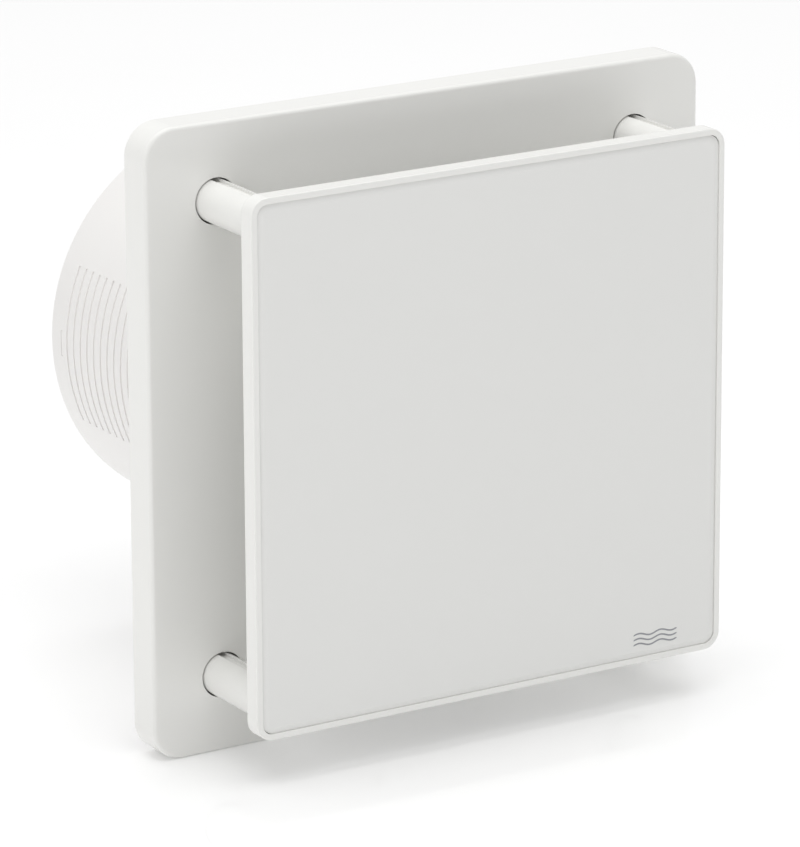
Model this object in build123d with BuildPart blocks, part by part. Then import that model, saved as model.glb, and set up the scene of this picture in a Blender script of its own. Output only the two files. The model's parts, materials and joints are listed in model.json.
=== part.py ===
from build123d import *
import os
from math import atan2, cos, radians, sin, sqrt

# A single-room heat recovery unit for one wall duct. A square wall plate carries a round duct spigot
# behind it and a floating square cover in front of it, on four posts. In the duct lie, from the
# room outwards, a filter cassette, a reversible axial fan, a flow straightener, a ceramic heat
# regenerator in its foam sleeve, and a grille. The electronics lie in the hollow of the wall plate.
#
# Frame, in millimetres: the duct's axis is Y and the room is at -Y. The wall's surface is the plane
# Y = 0. X is to the right as seen from the room, and Z is up.

os.makedirs("parts", exist_ok=True)

# ---- Clearances
seat = 0.02              # radial, between pieces that are pressed together
slip = 0.2               # between fixed pieces that are pushed together
running = 0.04           # radial, between races and balls and where the shaft turns
play = 0.3               # between pieces that slide out by hand and their seats

# ---- Wall plate: a tray, open towards the wall
plate_side = 231.0
plate_depth = 14.0
plate_corner = 12.0
plate_edge = 1.6         # rounding of the front edge
shell_wall = 2.5

# ---- Duct spigot with its flange, and the seal on the wall
duct_diameter = 148.0
duct_wall = 2.5
duct_length = 135.3      # from the wall's surface
duct_chamfer = 1.0
flange_thickness = 2.0
gasket_thickness = 2.0
gasket_width = 7.0
groove_count = 19
groove_pitch = 5.13
groove_width = 1.3
groove_depth = 0.45
groove_half_angle = 23.9
groove_end_margin = 12.9  # from the duct's end to the first groove
flange_rib_height = 1.5
flange_rib_width = 1.6
tube_lip = 2.5           # how far the tube's lip stands out in the flange
tube_rim = 4.0           # and its front rim

# ---- Floating cover
cover_side = 196.0
cover_depth = 7.3
cover_corner = 6.5
cover_edge = 0.5         # rounding of the frame's front edge
cover_skin = 2.5         # the frame's back wall
air_gap = 35.7           # from the plate's front to the cover's back
rim_width = 2.3
pane_thickness = 3.7
pane_recess = 0.1        # the sheet's face behind the rim
pane_gap = 0.06
pane_corner = 4.6
pane_bevel_width = 2.1
pane_bevel_depth = 0.5
tape_width = 14.0

# ---- Posts and their sockets
post_pitch = 174.0
post_diameter = 15.7
post_wall = 2.6
post_play = 0.6          # radial, in the socket
post_keyway = 3.4
post_keyway_depth = 1.3
post_cap = 4.0           # the closed end that is screwed to the cover
post_insertion = 8.5     # how deep a post stands in its socket
socket_wall = 2.0

# ---- Inlet collar of the wall plate, and the filter cassette in it
collar_wall = 4.0
collar_reach = 6.0       # how far the collar reaches into the duct
collar_fit = 0.5
inlet_edge = 3.0
cassette_depth = 5.0
cassette_recess = 1.0    # the cassette's front behind the plate's front
cassette_rim = 4.1
filter_thickness = 2.4
grille_bar = 1.6
lug_size = 2.2
tab_length = 14.0
tab_thickness = 1.8
tab_reach = 6.0

# ---- Wall screws, and the screws that hold the flange to the plate
wall_screw_pitch = 132.0
wall_hole_radius = 2.4
wall_head_radius = 4.6
wall_head_depth = 3.5
pillar_radius = 6.0
flange_screw_angle = 20.0
flange_screw_offset = 10.0   # outside the duct
flange_boss_radius = 3.6
screw_pilot = 1.25

# ---- Cable entry, terminal block and its hatch
grommet_bore = 3.5
grommet_neck = 6.0
grommet_lip = 8.0
grommet_x = 40.0
pole_count = 3
pole_pitch = 8.0
terminal_height = 13.0
terminal_depth = 7.0
terminal_x = 6.0
terminal_opening = 44.0
hatch_length = 60.0
hatch_height = 27.0
hatch_thickness = 1.5
hatch_ledge = 2.0
hatch_screw_inset = 7.0

# ---- Control board
board_length = 96.0
board_height = 24.0
board_thickness = 1.6
board_standoff = 1.0
board_screw_inset = 4.0
connector_height = 4.2
connector_x = -29.7
wire_diameter = 1.8
wire_pitch = 2.3
wire_bend = 6.0
lead_diameter = 2.4
lead_bend = 4.0

# ---- Fan module
fan_start = 8.0          # the module's front face
fan_depth = 38.0
fan_inset = 10.5         # from the duct's bore to the fan's bore
fan_ring_wall = 2.5
fan_flange = 2.0
fan_flange_gap = 1.7     # from the flange's edge to the duct's bore, filled by the rubber ring
damper_side = 2.0
strut_count = 5
strut_width = 2.4
pod_radius = 27.0
pod_wall = 2.0
pod_depth = 11.5
tip_gap = 0.8
blade_count = 7
blade_thickness = 1.8

blade_root_angle = 50.0
blade_tip_angle = 29.0
lead_channel = 2.9

# ---- Motor
shaft_radius = 2.5
bearing_radius = 5.5
bearing_width = 5.0
race_wall = 0.78
race_groove = 0.23
ball_count = 7
bearing_span = 10.5      # between the two bearings
bearing_tube_wall = 1.7
stator_radius = 19.0
stator_length = 10.0
tooth_count = 6
tooth_width = 5.0
coil_build = 2.2
magnet_thickness = 2.0
magnet_length = 14.0
magnet_gap = 0.7
cup_wall = 1.25
spring_wire = 0.25
spring_turns = 2
hub_wall = 2.4

# ---- Heat regenerator, its sleeve, the straightener and the outer grille
ledge_width = 2.0
ledge_height = 2.0
sleeve_wall = 9.0
straightener_depth = 3.0
straightener_pitch = 12.0
cell_pitch = 5.5
cell_wall = 0.9
grille_depth = 6.7
grille_recess = 3.3      # from the duct's end to the grille
latch_length = 9.8
latch_slot = 1.2

# ---- Places that follow from these
plate_front = -plate_depth
skin_back = plate_front + shell_wall
flange_back = -gasket_thickness
flange_front = flange_back - flange_thickness
tray_half = plate_side / 2 - shell_wall
flange_side = 2 * (tray_half - slip)
flange_corner = plate_corner - shell_wall - slip
duct_radius = duct_diameter / 2
duct_bore = duct_radius - duct_wall
tube_lip_radius = duct_radius + tube_lip
tube_rim_radius = duct_radius + tube_rim
collar_radius = duct_bore - collar_fit
throat_radius = collar_radius - collar_wall
post_radius = post_diameter / 2
socket_radius = post_radius + post_play
socket_outer = socket_radius + socket_wall
cover_back = plate_front - air_gap
cover_front = cover_back - cover_depth
pocket_floor = cover_back - cover_skin
pocket_side = cover_side - 2 * rim_width
pane_side = pocket_side - 2 * pane_gap
tape_thickness = cover_depth - cover_skin - pane_thickness - pane_recess
post_tip = plate_front + post_insertion
diagonal = sqrt(2)
flange_screw_radius = duct_radius + flange_screw_offset
flange_screw_spots = [
    (sx * flange_screw_radius * cos(radians(flange_screw_angle)),
     sz * flange_screw_radius * sin(radians(flange_screw_angle)))
    for sx in (-1, 1) for sz in (-1, 1)
]
service_z = (collar_radius + tray_half) / 2   # middle of the hollow above and below the duct
hatch_screw_x = hatch_screw_inset - hatch_length / 2
board_low = service_z - board_height / 2
board_screw_spots = [
    (sx * (board_length / 2 - board_screw_inset), service_z + sz * (board_height / 2 - board_screw_inset))
    for sx in (-1, 1) for sz in (-1, 1)
]
terminal_pin = 1.4
terminal_pin_spots = [(terminal_x + side * pole_pitch, -service_z) for side in (-1, 1)]
board_back = flange_front - board_standoff
board_front = board_back - board_thickness
cassette_front = plate_front + cassette_recess
cassette_back = cassette_front + cassette_depth
cassette_radius = throat_radius - play - 0.1
fan_end = fan_start + fan_depth
fan_flange_radius = duct_bore - fan_flange_gap
fan_bore = duct_bore - fan_inset
pod_floor = fan_start + pod_depth
pod_floor_front = pod_floor - fan_ring_wall
pod_bore = pod_radius - pod_wall
front_bearing = pod_floor_front + 2.0
rear_bearing = front_bearing + bearing_width + bearing_span
bearing_end = rear_bearing + bearing_width
tube_end = bearing_end + 0.5
ball_radius = (bearing_radius - shaft_radius) / 2 - race_wall + race_groove
stator_bore = bearing_radius + bearing_tube_wall + slip / 2
stator_start = pod_floor + 6.0
coil_end = stator_start + stator_length + coil_build
cup_floor = bearing_end + 2.0
magnet_bore = stator_radius + magnet_gap
cup_bore = magnet_bore + magnet_thickness
cup_radius = cup_bore + cup_wall
hub_radius = cup_radius + hub_wall
hub_start = pod_floor + 1.1
hub_end = cup_floor + cup_wall + 2.0
ledge_start = fan_end + damper_side
ledge_end = ledge_start + ledge_width
grille_end = duct_length - grille_recess
grille_start = grille_end - grille_depth
core_end = grille_start - slip
core_radius = duct_bore - play - sleeve_wall - slip
latch_y = grille_start + 1.5


def at(y):
    """The plane across the duct at that Y, facing the room: its x is X and its y is Z."""
    return Plane.XZ.offset(-y)


def through_axis(angle):
    """The half-plane of the duct's axis at that angle from +X towards +Z: its x is outwards, its y is Y."""
    turn = radians(angle)
    return Plane(origin=(0, 0, 0), x_dir=(cos(turn), 0, sin(turn)), z_dir=(-sin(turn), 0, cos(turn)))


def save(piece, label):
    """Labels the finished piece and writes it under that name."""
    piece.part.label = label
    export_step(piece.part, f"parts/{label}.step")


def screw(head_radius, head_height, shank_radius, shank_length):
    """A pan-head screw with a cross recess: the head stands on the XY plane, the shank points to -Z."""
    recess = head_radius * 0.5
    with BuildPart() as made:
        Cylinder(head_radius, head_height, align=(Align.CENTER, Align.CENTER, Align.MIN))
        fillet(made.edges().group_by(Axis.Z)[-1], head_height * 0.45)
        Cylinder(shank_radius, shank_length, align=(Align.CENTER, Align.CENTER, Align.MAX))
        chamfer(made.edges().group_by(Axis.Z)[0], shank_radius * 0.4)
        with BuildSketch(Plane.XY.offset(head_height)):
            Rectangle(2 * recess, recess * 0.4)
            Rectangle(recess * 0.4, 2 * recess)
        extrude(amount=-head_height * 0.6, mode=Mode.SUBTRACT)
    return made.part


# ---- base_plate: the visible tray, with the inlet collar, the post sockets and the screw pillars
with BuildPart() as base_plate:
    with BuildSketch(at(0)):
        RectangleRounded(plate_side, plate_side, plate_corner)
    extrude(amount=plate_depth)
    fillet(base_plate.faces().sort_by(Axis.Y)[0].edges(), plate_edge)
    with BuildSketch(at(0)):
        RectangleRounded(2 * tray_half, 2 * tray_half, plate_corner - shell_wall)
    extrude(amount=plate_depth - shell_wall, mode=Mode.SUBTRACT)
    with BuildSketch(at(collar_reach)):
        Circle(collar_radius)
    extrude(amount=collar_reach - skin_back)
    with BuildSketch(at(flange_front)):
        with GridLocations(post_pitch, post_pitch, 2, 2):
            Circle(socket_outer)
        with GridLocations(wall_screw_pitch, wall_screw_pitch, 2, 2):
            Circle(pillar_radius)
        with Locations(*flange_screw_spots):
            Circle(flange_boss_radius)
    extrude(amount=flange_front - skin_back)
    with BuildSketch(at(collar_reach)):
        Circle(throat_radius)
    extrude(amount=collar_reach - plate_front, mode=Mode.SUBTRACT)
    inlet_rim = base_plate.edges().filter_by(GeomType.CIRCLE).group_by(Axis.Y)[0]
    fillet(inlet_rim.filter_by(lambda edge: abs(edge.radius - throat_radius) < 0.1), inlet_edge)
    with BuildSketch(at(flange_front)):
        with GridLocations(post_pitch, post_pitch, 2, 2):
            Circle(socket_radius)
    extrude(amount=flange_front - plate_front, mode=Mode.SUBTRACT)
    with BuildSketch(at(flange_front)):
        with Locations(*flange_screw_spots):
            Circle(screw_pilot)
    extrude(amount=flange_front - skin_back, mode=Mode.SUBTRACT)
    with Locations(at(plate_front)):
        with GridLocations(wall_screw_pitch, wall_screw_pitch, 2, 2):
            CounterBoreHole(wall_hole_radius, wall_head_radius, wall_head_depth, plate_depth)
    # Hatch opening over the terminal block, with a ledge that the hatch lies on
    with BuildSketch(at(plate_front)):
        with Locations((0, -service_z)):
            RectangleRounded(hatch_length + 2 * slip, hatch_height + 2 * slip, 2.5)
    extrude(amount=-hatch_thickness, mode=Mode.SUBTRACT)
    with BuildSketch(at(plate_front)):
        with Locations((terminal_x, -service_z)):
            RectangleRounded(terminal_opening, hatch_height - 2 * hatch_ledge, 1.5)
    extrude(amount=-shell_wall, mode=Mode.SUBTRACT)
    with BuildSketch(at(skin_back)):
        with Locations((hatch_screw_x, -service_z)):
            Circle(3.2)
    extrude(amount=-4.0)
    with BuildSketch(at(skin_back + 4.0)):
        with Locations((hatch_screw_x, -service_z)):
            Circle(screw_pilot)
    extrude(amount=4.0 + shell_wall, mode=Mode.SUBTRACT)
    # Slot in the collar for the motor's lead, and three lugs that the filter cassette rests on
    with Locations((0, (cassette_back + flange_front) / 2 + 0.5, throat_radius)):
        Box(5.0, flange_front - cassette_back - 0.4, 4 * collar_wall, mode=Mode.SUBTRACT)
    for lug_angle in (30, 150, 270):
        with BuildSketch(through_axis(lug_angle)):
            with Locations((throat_radius + 0.5 - lug_size, cassette_back + play)):
                Rectangle(lug_size + 0.5, 2.0, align=(Align.MIN, Align.MIN))
        extrude(amount=4.0, both=True)
save(base_plate, "base_plate")

# ---- duct_flange: closes the tray and carries the tube
with BuildPart() as duct_flange:
    with BuildSketch(at(flange_back)):
        RectangleRounded(flange_side, flange_side, flange_corner)
    extrude(amount=flange_thickness)
    # Stiffening ribs, and pads round the wall screws, on the flange's back
    with BuildSketch(at(flange_back)):
        with PolarLocations(0, 8):
            with Locations((tube_lip_radius + 1, 0)):
                Rectangle(tray_half - gasket_width - tube_lip_radius - 2, flange_rib_width,
                          align=(Align.MIN, Align.CENTER))
        with GridLocations(wall_screw_pitch, wall_screw_pitch, 2, 2):
            Circle(pillar_radius)
    extrude(amount=-flange_rib_height)
    with BuildSketch(at(flange_back)):
        Circle(tube_lip_radius + seat)
    extrude(amount=flange_thickness, mode=Mode.SUBTRACT)
    with BuildSketch(at(flange_front + flange_thickness / 2)):
        Circle(tube_rim_radius + seat)
    extrude(amount=flange_thickness / 2, mode=Mode.SUBTRACT)
    with BuildSketch(at(flange_back + flange_rib_height)):
        with GridLocations(wall_screw_pitch, wall_screw_pitch, 2, 2):
            Circle(wall_hole_radius)
    extrude(amount=flange_thickness + flange_rib_height, mode=Mode.SUBTRACT)
    with BuildSketch(at(flange_back)):
        with Locations(*flange_screw_spots):
            Circle(1.7)
        with Locations((grommet_x, -service_z)):
            Circle(grommet_neck)
        with Locations(*terminal_pin_spots):
            Circle(terminal_pin + slip)
    extrude(amount=flange_thickness, mode=Mode.SUBTRACT)
    # Feet for the control board
    with BuildSketch(at(flange_front)):
        with Locations(*board_screw_spots):
            Circle(2.6)
    extrude(amount=board_standoff)
    with BuildSketch(at(board_back)):
        with Locations(*board_screw_spots):
            Circle(screw_pilot)
    extrude(amount=-board_standoff - flange_thickness + 0.4, mode=Mode.SUBTRACT)
save(duct_flange, "duct_flange")

# ---- duct_tube: the spigot, with a stepped lip that sits in the flange
with BuildPart() as duct_tube:
    with BuildSketch(Plane.XY):
        with Locations((duct_bore, flange_back)):
            Rectangle(duct_wall, duct_length - flange_back, align=(Align.MIN, Align.MIN))
        with Locations((duct_bore, flange_front)):
            Rectangle(tube_lip_radius - duct_bore, flange_thickness, align=(Align.MIN, Align.MIN))
            Rectangle(tube_rim_radius - duct_bore, flange_thickness / 2, align=(Align.MIN, Align.MIN))
        with Locations((duct_bore - ledge_height, ledge_start)):
            Rectangle(ledge_height + duct_wall / 2, ledge_width, align=(Align.MIN, Align.MIN))
    revolve(axis=Axis.Y)
    chamfer(duct_tube.edges().filter_by(GeomType.CIRCLE).group_by(Axis.Y)[-1].sort_by(SortBy.RADIUS)[-1],
            duct_chamfer)
    # Grip grooves round both sides of the spigot
    for side_angle in (0, 180):
        with BuildSketch(through_axis(side_angle + groove_half_angle)):
            first_groove = duct_length - groove_end_margin
            with Locations(*[(duct_radius, first_groove - groove_pitch * n) for n in range(groove_count)]):
                Rectangle(2 * groove_depth, groove_width)
        revolve(axis=Axis.Y, revolution_arc=2 * groove_half_angle, mode=Mode.SUBTRACT)
    # Slots that hold the outer grille's latches
    with Locations((duct_bore + duct_wall / 2, latch_y, 0), (-duct_bore - duct_wall / 2, latch_y, 0)):
        Box(3 * duct_wall, latch_slot, latch_length, mode=Mode.SUBTRACT)
save(duct_tube, "duct_tube")

# ---- wall_gasket: foam strip between the flange and the wall
with BuildPart() as wall_gasket:
    with BuildSketch(at(0)):
        RectangleRounded(flange_side, flange_side, flange_corner)
        RectangleRounded(flange_side - 2 * gasket_width, flange_side - 2 * gasket_width,
                         max(flange_corner - gasket_width, 1.0), mode=Mode.SUBTRACT)
    extrude(amount=gasket_thickness)
save(wall_gasket, "wall_gasket")

# ---- flange_screws: they hold the flange to the plate's bosses, from behind
flange_screw = screw(2.8, 1.6, 1.2, 7.5)
with BuildPart() as flange_screws:
    with Locations(Plane.XZ.offset(-flange_back).rotated((180, 0, 0))):
        with Locations(*[(x, -z) for x, z in flange_screw_spots]):
            add(flange_screw)
save(flange_screws, "flange_screws")

# ---- cable_grommet: rubber ring for the mains cable, snapped into the flange
with BuildPart() as cable_grommet:
    lip = 1.8
    with BuildSketch(Plane.XY.offset(-service_z)):
        with Locations((grommet_x, 0)):
            with Locations((grommet_bore, flange_front - lip)):
                Rectangle(grommet_lip - grommet_bore, lip, align=(Align.MIN, Align.MIN))
            with Locations((grommet_bore, flange_front - lip)):
                Rectangle(grommet_neck - slip / 2 - grommet_bore, flange_thickness + 2 * lip,
                          align=(Align.MIN, Align.MIN))
            with Locations((grommet_bore, flange_back)):
                Rectangle(grommet_lip - grommet_bore, lip, align=(Align.MIN, Align.MIN))
    revolve(axis=Axis((grommet_x, 0, -service_z), (0, 1, 0)))
save(cable_grommet, "cable_grommet")

# ---- panel_frame: the cover's tray, open to the room, with countersunk holes for the post screws
with BuildPart() as panel_frame:
    with BuildSketch(at(cover_back)):
        RectangleRounded(cover_side, cover_side, cover_corner)
    extrude(amount=cover_depth)
    fillet(panel_frame.faces().sort_by(Axis.Y)[0].edges(), cover_edge)
    fillet(panel_frame.faces().sort_by(Axis.Y)[-1].edges(), cover_edge)
    with BuildSketch(at(pocket_floor)):
        RectangleRounded(pocket_side, pocket_side, cover_corner - rim_width)
    extrude(amount=cover_depth, mode=Mode.SUBTRACT)
    with Locations(at(pocket_floor)):
        with GridLocations(post_pitch, post_pitch, 2, 2):
            CounterSinkHole(1.6, 3.0, 2 * cover_skin)
save(panel_frame, "panel_frame")

# ---- front_panel: the sheet in the frame, with a shallow bevel along its front edge
with BuildPart() as front_panel:
    with BuildSketch(at(pocket_floor - tape_thickness)):
        RectangleRounded(pane_side, pane_side, pane_corner)
    extrude(amount=pane_thickness)
    pane_face = front_panel.faces().sort_by(Axis.Y)[0]
    chamfer(pane_face.edges(), pane_bevel_width, pane_bevel_depth, reference=pane_face)
save(front_panel, "front_panel")

# ---- panel_tape: the adhesive band between the sheet and the frame
with BuildPart() as panel_tape:
    with BuildSketch(at(pocket_floor)):
        RectangleRounded(pane_side - 2, pane_side - 2, pane_corner)
        RectangleRounded(pane_side - 2 - 2 * tape_width, pane_side - 2 - 2 * tape_width, 2.0,
                         mode=Mode.SUBTRACT)
    extrude(amount=tape_thickness)
save(panel_tape, "panel_tape")

# ---- cover_post: four tubes with a keyway on top, closed at the cover's end, open towards the wall
post_length = post_tip - cover_back
post_places = {"upper_left": (-1, 1), "upper_right": (1, 1), "lower_left": (-1, -1), "lower_right": (1, -1)}
for place, (side_x, side_z) in post_places.items():
    post_spot = (side_x * post_pitch / 2, side_z * post_pitch / 2)
    with BuildPart() as cover_post:
        with BuildSketch(at(post_tip)):
            with Locations(post_spot):
                Circle(post_radius)
        extrude(amount=post_length)
        chamfer(cover_post.faces().sort_by(Axis.Y)[-1].edges(), 0.6)
        with BuildSketch(at(post_tip)):
            with Locations(post_spot):
                Circle(post_radius - post_wall)
        extrude(amount=post_length - post_cap, mode=Mode.SUBTRACT)
        with BuildSketch(at(post_tip)):
            with Locations((post_spot[0], post_spot[1] + post_radius)):
                Rectangle(post_keyway, 2 * post_keyway_depth)
        extrude(amount=post_length, mode=Mode.SUBTRACT)
        with BuildSketch(at(cover_back)):
            with Locations(post_spot):
                Circle(screw_pilot)
        extrude(amount=-post_cap, mode=Mode.SUBTRACT)
    save(cover_post, f"cover_post_{place}")

# ---- post_screws: countersunk screws from the frame's pocket into the posts
with BuildPart() as flat_screw:
    Cone(1.15, 2.8, 1.55, align=(Align.CENTER, Align.CENTER, Align.MAX))
    Cylinder(1.15, cover_skin + post_cap - 0.6, align=(Align.CENTER, Align.CENTER, Align.MAX))
    with BuildSketch(Plane.XY):
        Rectangle(3.0, 0.6)
        Rectangle(0.6, 3.0)
    extrude(amount=-1.0, mode=Mode.SUBTRACT)
with BuildPart() as post_screws:
    with Locations(at(pocket_floor)):
        with GridLocations(post_pitch, post_pitch, 2, 2):
            add(flat_screw.part)
save(post_screws, "post_screws")

# ---- filter_frame: the cassette that slides out of the inlet, with a guard and a finger tab
with BuildPart() as filter_frame:
    with BuildSketch(Plane.XY):
        with Locations((cassette_radius - cassette_rim, cassette_front)):
            Rectangle(cassette_rim, cassette_depth, align=(Align.MIN, Align.MIN))
    revolve(axis=Axis.Y)
    with BuildSketch(at(cassette_front + grille_bar)):
        for guard_radius in (16, 32, 48):
            Circle(guard_radius)
            Circle(guard_radius - grille_bar, mode=Mode.SUBTRACT)
            if guard_radius > 16:
                Circle(guard_radius - 16)
                Circle(guard_radius - 16 - grille_bar, mode=Mode.SUBTRACT)
        with PolarLocations(0, 4):
            Rectangle(2 * (cassette_radius - 1), grille_bar)
    extrude(amount=grille_bar)
    with BuildSketch(at(cassette_front + grille_bar)):
        with Locations((0, -cassette_radius + cassette_rim / 2)):
            Rectangle(tab_length + 2 * slip, tab_thickness + 2 * slip)
    extrude(amount=grille_bar, mode=Mode.SUBTRACT)
save(filter_frame, "filter_frame")

# ---- filter_tab: soft finger tab in a slot of the cassette
with BuildPart() as filter_tab:
    with BuildSketch(at(cassette_front + grille_bar)):
        with Locations((0, -cassette_radius + cassette_rim / 2)):
            Rectangle(tab_length, tab_thickness)
    extrude(amount=grille_bar + tab_reach)
    fillet(filter_tab.faces().sort_by(Axis.Y)[0].edges(), 0.6)
save(filter_tab, "filter_tab")

# ---- filter_pad
with BuildPart() as filter_pad:
    with BuildSketch(at(cassette_front + grille_bar + filter_thickness)):
        Circle(cassette_radius - cassette_rim - slip / 2)
    extrude(amount=filter_thickness)
save(filter_pad, "filter_pad")

# ---- terminal_hatch and its screw
with BuildPart() as terminal_hatch:
    with BuildSketch(at(plate_front + hatch_thickness)):
        with Locations((0, -service_z)):
            RectangleRounded(hatch_length, hatch_height, 2.3)
        with Locations((hatch_screw_x, -service_z)):
            Circle(1.6, mode=Mode.SUBTRACT)
    extrude(amount=hatch_thickness)
save(terminal_hatch, "terminal_hatch")

small_screw = screw(2.6, 1.4, 1.1, 5.0)
with BuildPart() as hatch_screw:
    with Locations(at(plate_front)):
        with Locations((hatch_screw_x, -service_z)):
            add(small_screw)
save(hatch_screw, "hatch_screw")

# ---- terminal_block: it stands on the flange on two pins, wires enter from above and below
wire_y = flange_front - board_standoff - board_thickness - connector_height / 2
with BuildPart() as terminal_block:
    with BuildSketch(at(flange_front)):
        with Locations((terminal_x, -service_z)):
            RectangleRounded(pole_count * pole_pitch + 2, terminal_height, 1.0)
    extrude(amount=terminal_depth)
    for pole in range(pole_count):
        pole_x = terminal_x + (pole - 1) * pole_pitch
        with BuildSketch(Plane.XY.offset(-service_z - terminal_height / 2)):
            with Locations((pole_x, wire_y)):
                Circle(wire_diameter / 2 + 0.35)
        extrude(amount=terminal_height, mode=Mode.SUBTRACT)
        with BuildSketch(at(flange_front - terminal_depth)):
            with Locations((pole_x, -service_z)):
                Circle(2.3)
        extrude(amount=-1.6, mode=Mode.SUBTRACT)
        with BuildSketch(at(flange_front - terminal_depth + 1.6)):
            with Locations((pole_x, -service_z)):
                Circle(1.2)
        extrude(amount=-2.6, mode=Mode.SUBTRACT)
    with BuildSketch(at(flange_front)):
        with Locations(*terminal_pin_spots):
            Circle(terminal_pin)
    extrude(amount=-flange_thickness)
save(terminal_block, "terminal_block")

# ---- terminal_screws
clamp_head = screw(1.9, 1.2, 1.1, 2.4)
with BuildPart() as terminal_screws:
    with Locations(at(flange_front - terminal_depth + 1.6)):
        with Locations(*[(terminal_x + (pole - 1) * pole_pitch, -service_z) for pole in range(pole_count)]):
            add(clamp_head)
save(terminal_screws, "terminal_screws")

# ---- control_board and what is on it
with BuildPart() as control_board:
    with BuildSketch(at(board_back)):
        with Locations((0, service_z)):
            RectangleRounded(board_length, board_height, 1.0)
        with Locations(*board_screw_spots):
            Circle(1.4, mode=Mode.SUBTRACT)
    extrude(amount=board_thickness)
save(control_board, "control_board")

board_screw = screw(2.2, 1.3, 1.1, board_thickness + board_standoff + flange_thickness - 0.5)
with BuildPart() as board_screws:
    with Locations(at(board_front)):
        with Locations(*board_screw_spots):
            add(board_screw)
save(board_screws, "board_screws")

with BuildPart() as power_module:
    with BuildSketch(at(board_front)):
        with Locations((24, service_z)):
            RectangleRounded(26, 17, 0.8)
    extrude(amount=connector_height)
    chamfer(power_module.faces().sort_by(Axis.Y)[0].edges(), 0.4)
save(power_module, "power_module")

with BuildPart() as board_chips:
    with BuildSketch(at(board_front)):
        with Locations((-14, service_z + 3)):
            Rectangle(9, 9)
        with Locations((-28, service_z + 5), (4, service_z + 6)):
            Rectangle(6, 5)
    extrude(amount=1.2)
save(board_chips, "board_chips")

capacitor_radius = 2.0
with BuildPart() as board_capacitors:
    with BuildSketch(Plane.YZ.offset(-2)):
        with Locations((board_front - capacitor_radius, service_z - 3.5), (board_front - capacitor_radius,
                                                                         service_z + 1)):
            Circle(capacitor_radius)
    extrude(amount=9.0)
save(board_capacitors, "board_capacitors")

# ---- board_connectors: one for the supply wires, one for the motor's lead
wire_end = board_low + 4.5
with BuildPart() as board_connectors:
    with BuildSketch(at(board_front)):
        with Locations((connector_x, board_low + 0.3)):
            Rectangle(pole_count * wire_pitch + 1.6, 6.0, align=(Align.CENTER, Align.MIN))
        with Locations((0, board_low + 0.3)):
            Rectangle(lead_diameter + 2.4, 6.0, align=(Align.CENTER, Align.MIN))
    extrude(amount=connector_height)
    with BuildSketch(Plane.XY.offset(board_low)):
        with Locations(*[(connector_x + (n - 1) * wire_pitch, wire_y) for n in range(pole_count)]):
            Circle(wire_diameter / 2 + 0.1)
        with Locations((0, wire_y)):
            Circle(lead_diameter / 2 + 0.1)
    extrude(amount=4.8, mode=Mode.SUBTRACT)
save(board_connectors, "board_connectors")

# ---- supply_wires: from the terminal block round the inlet collar to the board
wire_start = -service_z + terminal_height / 2 - 3.0
with BuildPart() as supply_wires:
    for n in range(pole_count):
        ring_radius = collar_radius + 2.4 + wire_pitch * (pole_count - 1 - n)
        low_x = terminal_x + (n - 1) * pole_pitch
        high_x = connector_x + (n - 1) * wire_pitch
        bend_ring = ring_radius + wire_bend
        low_turn = -sqrt(bend_ring ** 2 - (low_x - wire_bend) ** 2)
        high_turn = sqrt(bend_ring ** 2 - (high_x - wire_bend) ** 2)
        share = ring_radius / bend_ring
        low_bend = atan2(-low_turn, wire_bend - low_x) / 2
        high_bend = atan2(high_turn, wire_bend - high_x) / 2
        with BuildLine(at(wire_y)) as wire_path:
            Line((low_x, wire_start), (low_x, low_turn))
            ThreePointArc((low_x, low_turn),
                          (low_x - wire_bend + wire_bend * cos(low_bend),
                           low_turn + wire_bend * sin(low_bend)),
                          ((low_x - wire_bend) * share, low_turn * share))
            ThreePointArc(((low_x - wire_bend) * share, low_turn * share), (-ring_radius, 0),
                          ((high_x - wire_bend) * share, high_turn * share))
            ThreePointArc(((high_x - wire_bend) * share, high_turn * share),
                          (high_x - wire_bend + wire_bend * cos(high_bend),
                           high_turn - wire_bend * sin(high_bend)),
                          (high_x, high_turn))
            Line((high_x, high_turn), (high_x, wire_end))
        for stretch in wire_path.edges():
            with BuildSketch(Plane(origin=stretch @ 0, z_dir=stretch % 0)):
                Circle(wire_diameter / 2)
            sweep(path=stretch)
save(supply_wires, "supply_wires")

# ---- motor_lead: from the board through the collar's slot and down the fan's upper strut into the pod
lead_slot_y = flange_front - 1.5
lead_strut_y = fan_start + 1.8
with BuildPart() as motor_lead:
    with BuildLine(Plane.YZ) as lead_path:
        FilletPolyline((wire_y, wire_end), (wire_y, board_low), (lead_slot_y, board_low - 6),
                       (lead_slot_y, fan_bore - 5), (lead_strut_y, fan_bore - 5), (lead_strut_y, 20),
                       (pod_floor_front - 1.7, 20), radius=lead_bend)
    with BuildSketch(Plane(origin=(0, wire_y, wire_end), z_dir=(0, 0, 1))):
        Circle(lead_diameter / 2)
    sweep(path=lead_path.wires()[0])
save(motor_lead, "motor_lead")

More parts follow.
